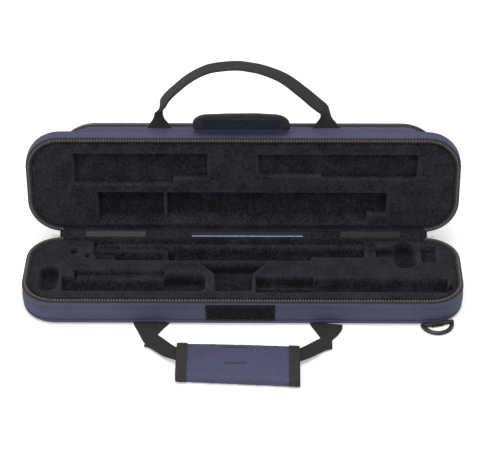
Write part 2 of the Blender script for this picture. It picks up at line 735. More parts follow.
# body joint: the socket end, a slot for its ring, the long trough and its key ledge
base_mould.block(LEFT + 69.5, LEFT + 90, REAR - 37.5, REAR - 18.5, 8)
base_mould.trough(LEFT + 89, LEFT + 144, REAR - 38.5, REAR - 18.5, 12)
base_mould.block(LEFT + 71.5, LEFT + 143, REAR - 19.5, REAR - 12.5, 5)
base_mould.block(LEFT + 143, LEFT + 150, REAR - 38.5, REAR - 14.5, 19, 1)
base_mould.trough(LEFT + 149, RIGHT - 151, REAR - 38.5, REAR - 12.5, 15)
base_mould.trough(RIGHT - 152, RIGHT - 96, REAR - 33.1, REAR - 12.5, 14)
base_mould.block(LEFT + 69.5, RIGHT - 96, REAR - 13.5, REAR - 6.8, 3.2)
base_mould.block(RIGHT - 97, RIGHT - 84, REAR - 23.5, REAR - 8.5, 3, 3)
base_mould.block(RIGHT - 85, RIGHT - 66, REAR - 32.5, REAR - 15.5, 8)
base_mould.well(LEFT + 47.5, REAR - 23, 4, 0.5, 10)
base_mould.well(LEFT + 62, REAR - 30, 3.2, 0.5, 8)
base_mould.block(LEFT + 66.5, LEFT + 71, REAR - 29.5, REAR - 6.8, 6)

# right finger well and the shallow pocket beside it
base_mould.well(RIGHT - 56, REAR - 28.5, 13, 9, 16)
base_mould.block(RIGHT - 39, RIGHT - 23, REAR - 41, REAR - 16, 6)
base_mould.soften()
base_tray = base_mould.shape(PLUSH_TOP, 1, PLUSH_FLOOR, INSERT_ROLL, 11, 0.0, EDGE_DROP, BASE_LIP)
base_mould.mark_crushed(make_piece("base_plush", base_tray, plush, "base", ["base_insert"]))

lid_mould = Mould(INSERT_IN)
UPPER = FRONT + 18
UPPER_RIGHT = FRONT + 19.5
LOWER = REAR - 45
lid_mould.block(LEFT + 49, LEFT + 149, UPPER, UPPER + 34.5, 6)
lid_mould.outline([(LEFT + 145, UPPER), (LEFT + 184, UPPER), (LEFT + 184, UPPER + 26.5),
                   (LEFT + 153, UPPER + 26.5), (LEFT + 145, UPPER + 34.5)], 6)
lid_mould.block(RIGHT - 204, RIGHT - 138, UPPER_RIGHT, UPPER_RIGHT + 22.5, 6)
lid_mould.block(RIGHT - 141, RIGHT - 44, UPPER_RIGHT, UPPER_RIGHT + 26, 6)
lid_mould.block(RIGHT - 50, RIGHT - 43.5, UPPER_RIGHT + 1, UPPER_RIGHT + 8, 8)
lid_mould.slope(LEFT + 72, LEFT + 139.4, LOWER, LOWER + 36, 9.5)
lid_mould.slope(LEFT + 142, LEFT + 227, LOWER, LOWER + 34, 8.5)
lid_mould.slope(LEFT + 225, RIGHT - 93, LOWER, LOWER + 36, 7.5)
lid_mould.block(RIGHT - 94, RIGHT - 73, LOWER, LOWER + 24, 7.5, 3)
lid_mould.soften()
lid_tray = lid_mould.shape(LID_PLUSH, -1, LID_PLUSH_BACK, INSERT_ROLL, 12, 0.0, EDGE_DROP, LID_LIP)
lid_mould.mark_crushed(make_piece("lid_plush", on_lid(lid_tray), plush, "lid", ["lid_insert"]))

# ---------------------------------------------------------------- lid wall
# The lid's side is a lower wall of the same padded nylon, with a pinched seam where
# the pocket on its outside begins.

LID_TOP = 0.0485
lid_section = in_metres((
    (-0.7, 33.5), (-0.2, 33.9), (0.25, 35.5), (0.5, 38.5), (0.55, 41.5), (0.45, 44.5), (0.1, 47),
    (-0.5, 48.2), (-0.9, 48.5)))
lid_section += [(-CLOTH, LID_TOP), (-CLOTH, LID_RIM)]
make_piece("lid_wall", on_lid(sweep(rim_path(), lid_section, swell=puckers(0.0002, (LID_TOP,), 0.004))),
           nylon, "lid", ["lid_cover"])

# ---------------------------------------------------------------- pocket outside the lid
# A flat pocket for music covers the lid's outside: a floor in the seam, a cloth
# gusset, a covered zip round three sides, and a lightly padded outer panel.

POCKET_IN = 0.0006
POCKET_LENGTH = 0.391
POCKET_DEPTH = 0.1068
POCKET_CORNER = 0.040
POCKET_X = 0.005
GUSSET_FOOT = 0.0493
POCKET_ZIP = 0.060
PANEL_FOOT = 0.0674
PANEL_TOP = 0.0698
BEAD_PITCH = 0.0013
# rows of stitches: heights on the lid's wall and on the gusset, distance in from the panel's edge
LID_ROW = 0.0465
GUSSET_ROW = 0.0585
PANEL_ROW = 0.0065


def pocket_path(with_rear=True):
    return rounded_path(POCKET_LENGTH, POCKET_DEPTH, POCKET_CORNER, 0.0, with_rear, middle=POCKET_X)


def moved(shape, offset):
    verts, faces, uvs = shape
    return np.asarray(verts, float) + np.array(offset), faces, uvs


pocket_rim = pocket_path()
pocket_open_rim = pocket_path(with_rear=False)

outside_cloth = Mould(POCKET_IN / MM, 3.0)
piping_section = [(-0.0009, LID_TOP), (-0.0005, 0.0489), (-0.0009, GUSSET_FOOT), (-0.003, GUSSET_FOOT),
                  (-0.003, LID_TOP)]
lid_outside = join_shapes(outside_cloth.shape(GUSSET_FOOT, 1, LID_TOP, 0.6, 14, rough=0.02),
                          sweep(rim_path(POCKET_IN), piping_section))
make_piece("lid_outside_cloth", on_lid(lid_outside), nylon, "lid", ["pocket_floor"])

gusset_section = in_metres((
    (-0.8, 49.3), (-0.1, 49.8), (0.2, 51.5), (0.3, 54), (0.2, 57), (0.0, 59), (-0.3, 60)))
gusset_section += [(-CLOTH, POCKET_ZIP), (-CLOTH, GUSSET_FOOT)]
rear_run = POCKET_LENGTH - 2 * POCKET_CORNER
rear_path = walk((POCKET_X + rear_run / 2, POCKET_DEPTH / 2), 180, [(rear_run,)])
rear_section = [(-0.0002, 0.0595), (0.0002, 0.062), (0.0002, 0.065), (-0.0002, PANEL_FOOT),
                (-CLOTH, PANEL_FOOT), (-CLOTH, 0.0595)]
gusset = sweep(pocket_rim, gusset_section, swell=puckers(0.00025, (GUSSET_FOOT, POCKET_ZIP), 0.003))
make_piece("pocket_wall", on_lid(join_shapes(gusset, sweep(rear_path, rear_section, False))),
           nylon, "lid", ["pocket_gusset"])

ZIP_MIDDLE = (POCKET_ZIP + PANEL_FOOT) / 2
lower_tape = [(-0.0002, POCKET_ZIP - 0.0002), (0.0002, POCKET_ZIP + 0.001), (0.0004, ZIP_MIDDLE - 0.0006),
              (0.0, ZIP_MIDDLE - 0.00015), (-CLOTH, ZIP_MIDDLE - 0.00015), (-CLOTH, POCKET_ZIP - 0.0002)]
upper_tape = [(out, 2 * ZIP_MIDDLE - up) for out, up in lower_tape]
pocket_tapes = join_shapes(*(sweep(pocket_open_rim, section, False) for section in (lower_tape, upper_tape)))
make_piece("pocket_tapes", on_lid(pocket_tapes), zip_tape, "lid", ["pocket_zip_tape"])


def bead(n):
    """One of the small slanted teeth that the closed chain shows between its tapes."""
    profile = [(0.0, -0.0009), (0.0008, -0.0006), (0.0011, 0.0), (0.0008, 0.0006), (0.0, 0.0009)]
    return plain_tube([across_path(pocket_open_rim, (n + 0.5 + side * 0.4) * BEAD_PITCH,
                                   [(out, ZIP_MIDDLE + up + side * 0.0002) for out, up in profile])
                       for side in (-1, 1)])


pocket_chain = join_shapes(*map(bead, range(int(pocket_open_rim[-1, 4] / BEAD_PITCH))))
make_piece("pocket_coils", on_lid(pocket_chain), coil_nylon, "lid", ["pocket_zip_chain"])

# the panel's row of stitches draws a soft groove round its padding
panel_mould = Mould(0.0, 2.2, POCKET_LENGTH, POCKET_DEPTH, POCKET_CORNER)
panel_mould.depth += 0.45 * np.exp(-((panel_mould.edge_distance() - PANEL_ROW / MM) / 0.9) ** 2)
panel = moved(panel_mould.shape(PANEL_TOP, 1, PANEL_FOOT, 2.2, 13, puff=1.3), (POCKET_X, 0, 0))
make_piece("pocket_front", on_lid(panel), nylon, "lid", ["pocket_panel"])
panel_points, panel_normals = seam_line(pocket_rim, -PANEL_ROW, PANEL_TOP + 0.0001)
panel_normals[:] = (0, 0, 1)
lid_rows = join_shapes(
    stitch_row(*seam_line(rim_path(), 0.00015, LID_ROW), 0.0026, 0.0008, 0.0004),
    stitch_row(*seam_line(pocket_rim, -0.0001, GUSSET_ROW), 0.0026, 0.0008, 0.0004),
    stitch_row(panel_points, panel_normals))
make_piece("lid_stitches", on_lid(lid_rows), navy_thread, "lid")

# ---------------------------------------------------------------- cloth hinge
# A strip of navy nylon joins the rear walls and folds as the lid turns. Tapes,
# plush linings and two cotton tabs lie on its inside, with a pale selvage between.

HINGE_LENGTH = 0.368
WRINKLES = (140, 233, 377, 610)
SELVAGE_LENGTH = 0.114
hinge_end = Vector(opened([0, 0.0535, 0.0345]))


def folded_strip(x0, x1, back, thickness, wrinkle, seed, part=(0.0, 1.0)):
    """Cloth from the base's rear rim over the hinge line to the lid's, or a part of that way."""
    inner = np.array([(0.0538, 0.0250), (0.0542, 0.0280), (0.0554, 0.0296), (0.0572, 0.0311)])
    lid_side = opened(np.column_stack([np.zeros(4), inner[:, 0], 2 * HINGE_Z - inner[:, 1]]))[:, 1:]
    line = np.vstack([inner, lid_side[::-1][1:]])
    reach = lengths(line)
    fine = reach[-1] * np.linspace(*part, 15)
    line = np.column_stack([np.interp(fine, reach, line[:, k]) for k in (0, 1)])
    slope = np.gradient(line, axis=0)
    normal = np.column_stack([-slope[:, 1], slope[:, 0]]) / np.hypot(*slope.T)[:, None]
    xs = np.linspace(x0, x1, round((x1 - x0) / 0.004))
    chance = random.Random(seed)
    phases = [chance.uniform(0, 6.28) for _ in WRINKLES]
    verts = []
    for x in xs:
        ripple = wrinkle * sum(math.sin(x * f + p) for f, p in zip(WRINKLES, phases)) / len(WRINKLES)
        lift = back + np.sin(np.linspace(0, math.pi, len(line)))[:, None] * ripple
        ring = np.vstack([line + normal * lift, (line + normal * (lift + thickness))[::-1]])
        verts += [(x, y, z) for y, z in ring]
    size = 2 * len(line)
    return np.array(verts), *skin(len(xs), size, xs, np.arange(size + 1) * 0.001)


satin = make_ribbed("hinge_satin", (0.020, 0.0205, 0.021), 0.0011, 0.00012, 0.45, along_u=False)
gathered_tape = make_ribbed("hinge_tape_black", (0.008, 0.008, 0.009), 0.0009, 0.00012, 0.5, along_u=False)
hinge_cloth = make_woven("hinge_cloth", (0.006, 0.008, 0.022), 0.00055, 0.00012, 0.7, 0.0)
cotton = make_woven("cotton_tab", (0.62, 0.54, 0.42), 0.0006, 0.00012, 0.8)
strip = folded_strip(-HINGE_LENGTH / 2, HINGE_LENGTH / 2, -0.0004, 0.0008, 0.0002, 3)
hinge_strip = make_piece("hinge_strip", strip, hinge_cloth, None,
                         ["hinge_cloth_base", "hinge_cloth_lid"])
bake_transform(hinge_strip)
# what lies over the strip: name, ends, wrinkles, part of the way across, finish and slot
hinge_tapes = [
    ("hinge_tape_left", -0.162, -0.101, 0.0004, (0.12, 0.86), satin, "zip_tape"),
    ("hinge_tape_right", 0.100, 0.161, 0.0009, (0.1, 0.9), gathered_tape, "zip_tape"),
    ("hinge_tab_left", -0.1975, -0.1890, 0.0008, (0.30, 0.44), cotton, "binding"),
    ("hinge_tab_right", 0.1890, 0.1965, 0.0008, (0.30, 0.44), cotton, "binding")]
linings = ((-0.189, -0.162), (-0.101, -0.053), (0.061, 0.100), (0.161, 0.189))
for n, (x0, x1) in enumerate(linings):
    hinge_tapes.append((f"hinge_lining_{n + 1}", x0, x1, 0.0004, (0.1, 0.9), plush, "plush"))
for n, (name, x0, x1, wrinkle, part, finish, slot) in enumerate(hinge_tapes):
    tape = make_piece(name, folded_strip(x0, x1, 0.0005, 0.0004, wrinkle, 5 + n, part), finish)
    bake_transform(tape)

selvage = make_woven("pale_selvage", (0.50, 0.52, 0.58), 0.0005, 0.0001, 0.6)
selvage_section = [(-0.0003, 0.0299), (0.0, 0.0302), (0.0002, 0.0302), (0.0003, 0.0299), (0.0, 0.0297)]
selvage_run = walk((0.061, 0.0551), 180, [(SELVAGE_LENGTH,)])
make_piece("hinge_selvage", sweep(selvage_run, selvage_section, False), selvage, "base")

# ---------------------------------------------------------------- loop patch
# A patch of black loop tape is sewn on the middle of the base's front wall, for
# the flap's hook tape.

PATCH_LENGTH = 0.069
PATCH_HEIGHT = 0.019
PATCH_FOOT = 0.0074
CLOSING_X = -0.0015


def make_pile(name, colour, clumping):
    """Matt loops or hooks, so small that they show as a fine nap, uneven by clumping."""
    material, tree, shader = new_finish(name, colour, 0.95, 0.05, (0.7, 0.7, 0.74))
    shader.inputs["Specular IOR Level"].default_value = 0.2
    loops = grain(tree, 0.0008, 4.0)
    clumps = grain(tree, 0.0026, 3.0)
    tone = weighted(tree, (loops, 0.7 * clumping), (clumps, clumping))
    tone = arithmetic(tree, "SUBTRACT", tone, 0.85 * clumping - 0.5)
    shade_between(tree, shader, tone, colour, 0.05, 2.3)
    raise_relief(tree, shader, loops, 0.0008, 0.9)
    return material


def fuzzy_slab(width, height, thickness, rough, seed, step=0.0007):
    """A slab of pile standing on the XZ plane towards -Y, with a rough face and soft edges."""
    columns, rows = round(width / step), round(height / step)
    xs, zs = np.linspace(-width / 2, width / 2, columns), np.linspace(0, height, rows)
    x, z = np.meshgrid(xs, zs, indexing="ij")
    edge = np.minimum(np.minimum(x + width / 2, width / 2 - x), np.minimum(z, height - z))
    rise = thickness * np.sqrt(np.clip(edge / (2.2 * step), 0, 1)) * 0.9 + 0.1 * thickness
    rise += np.random.default_rng(seed).uniform(-rough, rough, rise.shape) * (edge > step)
    return boxed_grid(np.column_stack([x.ravel(), -rise.ravel(), z.ravel()]), columns, rows, 1, 0.0)


loop_pile = make_pile("loop_pile", (0.0034, 0.0036, 0.0049), 2.2)
patch_place = (CLOSING_X, -CASE_DEPTH / 2 - 0.00002, PATCH_FOOT)
patch = fuzzy_slab(PATCH_LENGTH, PATCH_HEIGHT, 0.0013, 0.00022, 21)
make_piece("loop_tape_patch", moved(patch, patch_place), loop_pile, "base", ["loop_patch"])
black_thread = make_thread("black_thread", (0.006, 0.006, 0.0065))


def box_row(width, height, inset, out):
    """A closed row of stitches just inside the edge of an upright rectangle."""
    w, h = width / 2 - inset, height - inset
    corners = [(-w, out, inset), (w, out, inset), (w, out, h), (-w, out, h), (-w, out, inset)]
    return stitch_row(corners, [(0, -1, 0)] * 5)


make_piece("patch_stitches", moved(box_row(PATCH_LENGTH, PATCH_HEIGHT, 0.0017, -0.0012), patch_place),
           black_thread, "base")

# ---------------------------------------------------------------- closing flap
# Two layers of nylon with thin padding, bound in black grosgrain on three sides and
# caught in the lid's seam. It folds down over the loop patch when the case is shut.

FLAP_WIDTH = 0.096
FLAP_LENGTH = 0.0322
FLAP_CORNER = 0.018
TIP_TURN = math.radians(5)
FLAP_THICK = 0.002
FLAP_BINDING = 0.0085
BINDING_ROW = 0.0072
HOOK_TAPE_HEIGHT = 0.0195
FLAP_ANGLE = math.radians(53)
FLAP_FOLD = (-0.0573, 0.0475)
ROOT_LENGTH = 0.0036


def on_flap(points):
    """Places (x, along, out) on the flap, with along below 0 past the fold and above 0 towards the seam."""
    points = np.asarray(points, float)
    x, along, out = points[:, 0], points[:, 1], points[:, 2]
    down = np.array([-math.sin(FLAP_ANGLE), -math.cos(FLAP_ANGLE)])
    face = np.array([-math.cos(FLAP_ANGLE), math.sin(FLAP_ANGLE)])
    share = np.clip((along + 0.002) / 0.004, 0, 1)[:, None]
    past = np.array(FLAP_FOLD) - along[:, None] * down + out[:, None] * face
    root = np.array(FLAP_FOLD) + along[:, None] * np.array([1.0, 0.0]) + out[:, None] * np.array([0.0, 1.0])
    return opened(np.column_stack([x + CLOSING_X, past * (1 - share) + root * share]))


def placed_on_flap(shape):
    verts, faces, uvs = shape
    return on_flap(verts), faces, uvs


def flap_outline(half, length, corner):
    """The straight side's length and the radius of the shallow arch that the tip makes."""
    arch = (half - corner) / math.sin(TIP_TURN) + corner
    side = length - corner * math.cos(TIP_TURN) - arch * (1 - math.cos(TIP_TURN))
    return side, arch


def flap_plate(width, length, corner, thickness, crown):
    """Padded plate in (x, along, out), its two far corners round, from the seam to its tip."""
    half = width / 2
    side, arch = flap_outline(half, length, corner)
    turn = np.linspace(0, math.pi / 2, 9)
    rounded = half - corner * (1 - np.cos(turn))
    xs = np.concatenate([-rounded, np.linspace(corner - half, half - corner, 30)[1:-1], rounded[::-1]])
    over = np.maximum(np.abs(xs) - (half - corner), 0)
    at_corner = -side - np.sqrt(np.maximum(corner ** 2 - over ** 2, 0))
    on_arch = arch - length - np.sqrt(arch ** 2 - xs ** 2)
    tips = np.where(over > corner * math.sin(TIP_TURN), at_corner, on_arch)
    rows = np.linspace(0, 1, 22)
    x = np.tile(xs[:, None], (1, len(rows)))
    along = ROOT_LENGTH + (tips - ROOT_LENGTH)[:, None] * rows[None, :]
    edge = np.minimum(half - np.abs(x), along - tips[:, None])
    swell = thickness / 2 * np.sqrt(np.clip(edge / thickness, 0.05, 1)) + crown * np.clip(edge / 0.014, 0, 1)
    quads, border = grid_faces(*x.shape)
    faces = quads + [tuple(n + x.size for n in quad[::-1]) for quad in quads]
    for a, b in zip(border, border[1:] + border[:1]):
        faces.append((a, b, b + x.size, a + x.size))
    verts = np.vstack([np.column_stack([x.ravel(), along.ravel(), sign * swell.ravel()])
                       for sign in (1, -1)])
    return verts, faces, [[(verts[v][0], verts[v][1]) for v in face] for face in faces]


def bend_at_fold(piece):
    """The root stays in the lid's seam while the rest turns with the flap."""
    y, z = FLAP_FOLD
    start, end = opened([CLOSING_X, y + 0.0016, z + 0.0002]), opened([CLOSING_X, y - 0.0016, z - 0.0012])
    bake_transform(piece)


grosgrain = make_ribbed("grosgrain_black", (0.022, 0.022, 0.0225), 0.0009, 0.00016, 0.72)
plate = flap_plate(FLAP_WIDTH - 0.002, FLAP_LENGTH - 0.001, FLAP_CORNER - 0.001, FLAP_THICK, 0.0005)
bend_at_fold(make_piece("flap_cloth", placed_on_flap(plate), nylon, None,
                        ["flap_panel", "flap_root"]))

half_binding = in_metres((
    (-8.5, 1.15), (-8.2, 1.6), (-5, 1.85), (-2, 1.9), (-0.5, 1.5), (0.35, 0.7), (0.5, 0.0)))
binding_section = half_binding + [(out, -up) for out, up in half_binding[-2::-1]]
flap_side, flap_arch = flap_outline(FLAP_WIDTH / 2, FLAP_LENGTH, FLAP_CORNER)
corner_turn = (FLAP_CORNER, 90 - math.degrees(TIP_TURN))
flap_moves = [(flap_side,), corner_turn, (flap_arch, 2 * math.degrees(TIP_TURN)), corner_turn, (flap_side,)]
flap_edge = walk((-FLAP_WIDTH / 2, 0.0), 270, flap_moves, 0.0015)


def binding_wave(distances, section):
    wave = np.sin(distances * 95) + 0.7 * np.sin(distances * 231 + 0.8)
    edge = (section[:, 0] > -0.003).astype(float)
    return 0.00035 * wave[:, None] * edge[None, :]


make_piece("flap_edging", placed_on_flap(sweep(flap_edge, binding_section, False, binding_wave)),
           grosgrain, "flap", ["flap_binding"])

edge_points = flap_edge[:, :2] - flap_edge[:, 2:4] * BINDING_ROW
binding_rows = []
for sign in (1, -1):
    line, beyond = (on_flap(np.column_stack([edge_points, np.full(len(edge_points), sign * out)]))
                    for out in (0.00168, 0.0027))
    binding_rows.append(stitch_row(line, beyond - line))
make_piece("flap_stitches", join_shapes(*binding_rows), black_thread, "flap")


def hook_tape_shape():
    width = FLAP_WIDTH - 2 * FLAP_BINDING - 0.001
    verts, faces, uvs = fuzzy_slab(width, HOOK_TAPE_HEIGHT, 0.0007, 0.00012, 22)
    local = np.column_stack([verts[:, 0], verts[:, 2] - FLAP_LENGTH + FLAP_BINDING + 0.0016,
                             -FLAP_THICK / 2 - 0.0005 + verts[:, 1]])
    return on_flap(local), faces, uvs


hook_pile = make_pile("hook_pile", (0.0125, 0.0143, 0.0265), 0.6)
make_piece("flap_hook_tape", hook_tape_shape(), hook_pile, "flap", ["flap_hook_strip"])

# ---------------------------------------------------------------- lid handle
# One length of black webbing. Its ends are caught in the pocket's seam as folded
# triangles, pinch, turn on edge and rise into a carrying loop with sewn edges.

LID_FOOT_Z = 0.0575
WEBBING = 0.0024


def smooth_run(stations, count):
    """Catmull-Rom curve through the rows of stations."""
    stations = np.array(stations, float)
    padded = np.vstack([2 * stations[0] - stations[1], stations, 2 * stations[-1] - stations[-2]])
    result = []
    for t in np.linspace(0, len(stations) - 1 - 1e-9, count):
        i = int(t)
        u = t - i
        a, b, c, d = padded[i:i + 4]
        result.append(0.5 * (2 * b + (c - a) * u + (2 * a - 5 * b + 4 * c - d) * u ** 2
                             + (3 * b - a - 3 * c + d) * u ** 3))
    return np.array(result)


def ribbon(edges, thickness, count):
    """Webbing between two edges, and its stitches. edges holds rows of left x, y, z and right x, y, z."""
    run = smooth_run(edges, count)
    left, right = run[:, :3], run[:, 3:]
    centre, across = (left + right) / 2, (right - left) / 2
    face = np.cross(np.gradient(centre, axis=0), across)
    face /= np.linalg.norm(face, axis=1)[:, None]
    profile = [(-1.0, 0.0), (-0.985, 0.32), (-0.94, 0.46), (-0.6, 0.5), (0.0, 0.5), (0.6, 0.5), (0.94, 0.46),
               (0.985, 0.32)]
    profile += [(-w, -h) for w, h in profile]
    verts = np.concatenate([[centre[i] + across[i] * w + face[i] * thickness * h for w, h in profile]
                            for i in range(count)])
    web = verts, *skin(count, len(profile), lengths(centre), [0.01 * w for w, _ in profile + profile[:1]])
    rows = [stitch_row(centre + across * share + face * thickness * 0.52 * sign, face * sign, 0.0026, 0.001)
            for share in (-0.8, 0.8) for sign in (1, -1)]
    return web, join_shapes(*rows)


def handle_station(x, y, width, turn):
    """Edges of the handle's webbing at (x, y) on the closed lid; turn 0 lies flat and 90 stands on edge."""
    a = math.radians(turn)
    dx, dz = math.cos(a) * width / 2, math.sin(a) * width / 2
    return [v * MM for v in (x - dx, y, LID_FOOT_Z / MM - dz, x + dx, y, LID_FOOT_Z / MM + dz)]


handle_run = [handle_station(*s) for s in (
    (-84.8, -53.5, 25.5, 0), (-85, -58, 19, 0), (-85.2, -63.5, 11.5, 4), (-85.1, -69.8, 9, 30),
    (-83.9, -73.5, 15, 70), (-82.8, -76.5, 19, 92), (-80.3, -81, 20, 103), (-76.4, -87, 20, 100),
    (-69.9, -94, 20, 97), (-56.2, -106.4, 20, 96), (-43, -114.8, 20, 93), (-29.5, -119.8, 20, 91),
    (-7.3, -122.2, 20, 88), (8, -120.4, 20, 84), (21.6, -117, 20, 80), (41, -108.3, 20, 70),
    (59.6, -93.4, 20, 64), (72.3, -81.8, 20, 62), (79.8, -75, 18, 56), (82.8, -69.5, 11, 30),
    (83.6, -64, 13, 8), (84, -58.5, 21, 0), (84.3, -53.5, 29, 0))]
webbing_black = make_ribbed("webbing_black", (0.017, 0.017, 0.0172), 0.0016, 0.00022, 0.74)
handle_web, handle_rows = ribbon(handle_run, WEBBING, 190)


def bend_at_lid_foot(piece):
    start, end = opened([0, -0.0612, LID_FOOT_Z]), opened([0, -0.0670, LID_FOOT_Z])
    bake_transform(piece)


bend_at_lid_foot(make_piece("lid_handle_webbing", on_lid(handle_web), webbing_black, None,
                            ["lid_handle_strap", "lid_anchor_left", "lid_anchor_right"]))
bend_at_lid_foot(make_piece("lid_handle_stitches", on_lid(handle_rows), black_thread))

# ---------------------------------------------------------------- base handle
# Two feet of webbing leave the bottom seam and lie forward on the table. The strap
# is sewn on their tips, its cut ends turned out, and runs through the grip.

STRAP = 0.0017
# the left foot, the right foot and the strap: how many stations each has, then its outer and
# inner edge in millimetres
base_straps = (
    (40, ((-108, -50, 1.2, -70.5, -49, 1.2), (-107, -54.6, 1.2, -73, -53.5, 1.2),
          (-102.4, -65.4, 1.2, -78, -61, 1.2), (-96.6, -79.5, 1.2, -83.3, -71.4, 1.2),
          (-91.5, -87, 1.2, -82, -80, 1.4))),
    (40, ((99.5, -54, 1.2, 66.5, -50, 1.2), (98.6, -61.4, 1.2, 68.2, -55.3, 1.2),
          (93.4, -70.9, 1.2, 72.9, -64.8, 1.2), (88.3, -77.8, 1.2, 77.3, -75.2, 1.2),
          (85, -88, 1.2, 76, -82, 1.4))),
    (180, ((-95.2, -89.4, 2.9, -92.6, -80.2, 2.9), (-92.4, -90.3, 3.0, -86.5, -75.5, 3.0),
           (-88.5, -93.0, 3.3, -82.6, -72.6, 3.1), (-76.1, -105.8, 4.9, -73.9, -83, 5.1),
           (-65, -113.6, 7.0, -64.8, -94.4, 7.2), (-58, -118, 7.8, -57, -99.2, 7.8),
           (-40, -121.2, 7.8, -40, -101.4, 7.8), (30, -122.6, 7.8, 30, -102.9, 7.8),
           (49, -120.6, 7.8, 48, -101.6, 7.8), (56.5, -116, 7.1, 56, -97.4, 7.3),
           (68.2, -107.3, 5.3, 65.6, -87.9, 5.2), (80.2, -96.2, 3.3, 76.2, -77.4, 3.1),
           (84.4, -93.6, 3.0, 82.5, -77.2, 3.0), (88.4, -92.4, 2.9, 88.6, -79.0, 2.9))))
base_ribbons = [ribbon([[v * MM for v in row] for row in rows], STRAP, count) for count, rows in base_straps]
base_webs, base_rows = (join_shapes(*shapes) for shapes in zip(*base_ribbons))


def bend_at_base_foot(piece):
    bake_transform(piece)


bend_at_base_foot(make_piece("base_handle_webbing", base_webs, webbing_black, None,
                             ["base_handle_strap", "base_anchor_left", "base_anchor_right"]))
bend_at_base_foot(make_piece("base_handle_stitches", base_rows, black_thread))

# ---------------------------------------------------------------- grip
# A padded nylon wrap folded over the strap. Its ends are bound in wide grosgrain,
# and hook and loop tapes along the front hold it shut.

GRIP_X = -0.003
GRIP_LENGTH = 0.119
END_BINDING = 0.0105
PAD_END = 0.002
GRIP_TAPE_WIDTH = 0.010
TACK_LEFT, TACK_RIGHT = -0.0165, 0.0065
FOLD_Y = -0.1015
FOLD_R = 0.0065
FOLD_INSIDE = 0.0025
PAD = 0.004
TABLE_GAP = 0.0001
LEAF_FRONT = FOLD_Y + FOLD_R - 0.050
FRONT_Z = 0.0063
CLOSED_Z = 0.009
LOOP_TAPE_Z = 0.0039
LEAF_SET_BACK = 0.0038


def top_leaf_profile(extra=0.0):
    """Section (y, z) of the upper leaf and its fold, swollen outward by extra."""
    outer = [(FOLD_Y + (FOLD_R + extra) * math.cos(a),
              max(FOLD_R + (FOLD_R + extra * 0.98) * math.sin(a), 0.00005))
             for a in np.linspace(-math.pi / 2, math.pi / 2, 18)]
    top = [(FOLD_Y - 0.007, 0.01335), (FOLD_Y - 0.014, 0.0135), (FOLD_Y - 0.021, 0.0132),
           (FOLD_Y - 0.027, 0.0124), (FOLD_Y - 0.033, 0.0113), (FOLD_Y - 0.039, 0.0103),
           (LEAF_FRONT + 0.0012, 0.0097)]
    nose = [(LEAF_FRONT - extra, 0.0080), (LEAF_FRONT - 0.0003 - extra, 0.0052),
            (LEAF_FRONT - extra, 0.0028), (LEAF_FRONT + 0.0010, 0.0014), (LEAF_FRONT + 0.0024, 0.0020),
            (LEAF_FRONT + 0.0030, FRONT_Z)]
    under = [(LEAF_FRONT + 0.014, FRONT_Z), (FOLD_Y - 0.021, CLOSED_Z), (FOLD_Y, CLOSED_Z)]
    inner = [(FOLD_Y + FOLD_INSIDE * math.cos(a), FOLD_R + FOLD_INSIDE * math.sin(a))
             for a in np.linspace(math.pi / 2, -math.pi / 2, 9)[1:]]
    return np.array(outer + [(y, z + extra) for y, z in top] + nose + under + inner)


def lower_leaf_profile(extra=0.0):
    nose = PAD / 2 - TABLE_GAP
    nose_y = FOLD_Y - nose - 0.0003
    back = [(nose_y + nose * math.cos(a), nose + TABLE_GAP + nose * math.sin(a))
            for a in np.linspace(-math.pi / 2, math.pi / 2, 9)]
    edge = LEAF_FRONT + LEAF_SET_BACK
    front = [(edge + 0.001, 0.0038), (edge - extra, 0.0031), (edge - extra, 0.0009),
             (edge + 0.001, TABLE_GAP)]
    return np.array(back + front)


def along_grip(profile, x0, x1, wave, count, seed, crown=0.0):
    """A section carried along the grip, with slow swelling and small gathers."""
    xs = np.linspace(x0, x1, count)
    chance = random.Random(seed)
    phase = [chance.uniform(0, 6.28) for _ in range(3)]
    low, high = profile[:, 1].min(), profile[:, 1].max()
    height = (profile[:, 1] - low) / (high - low)
    front = np.clip((FOLD_Y - 0.02 - profile[:, 0]) / 0.02, 0, 1)
    verts = []
    for x in xs:
        share = (x - GRIP_X) / (GRIP_LENGTH / 2)
        gather = wave * sum(math.sin(x * f + p) for f, p in zip((180, 410, 730), phase)) / 3
        rise = crown * (1 - share ** 2) * height ** 2 + gather * height ** 3
        # the grip lies a little askew, and its front edge more so
        verts += [(x, y - f * (gather * 1.2 - 0.0008 + 0.0016 * share) - 0.0020 * share, z + r)
                  for (y, z), r, f in zip(profile, rise, front)]
    around = lengths(np.vstack([profile, profile[:1]]))
    return np.array(verts), *skin(count, len(profile), xs, around, cap=list(map(tuple, profile)))


grip_left, grip_right = GRIP_X - GRIP_LENGTH / 2, GRIP_X + GRIP_LENGTH / 2
# each leaf: its section, its gathers, stations, seed and crown, its body and its CAD node
for leaf, profile, shaping, body, node in (
        ("upper", top_leaf_profile(), (0.0003, 70, 31, 0.0009), "base_handle", "grip_top_leaf"),
        ("lower", lower_leaf_profile(), (0.0, 30, 32), "grip_leaf", "grip_lower_leaf")):
    leaf_shape = along_grip(profile, grip_left + PAD_END, grip_right - PAD_END, *shaping)
    pad = make_piece(f"grip_{leaf}_pad", leaf_shape, nylon, body, [node])

# the bindings stand out a little from the leaves
for leaf, profile, body, node in (
        ("upper", top_leaf_profile(0.0011), "base_handle", "grip_top_bindings"),
        ("lower", lower_leaf_profile(0.0006), "grip_leaf", "grip_lower_bindings")):
    ends = [along_grip(profile, x0, x0 + END_BINDING, 0.0006, 16, 40 + n, 0.0009)
            for n, x0 in enumerate((grip_left, grip_right - END_BINDING))]
    make_piece(f"grip_{leaf}_edging", join_shapes(*ends), grosgrain, body, [node])


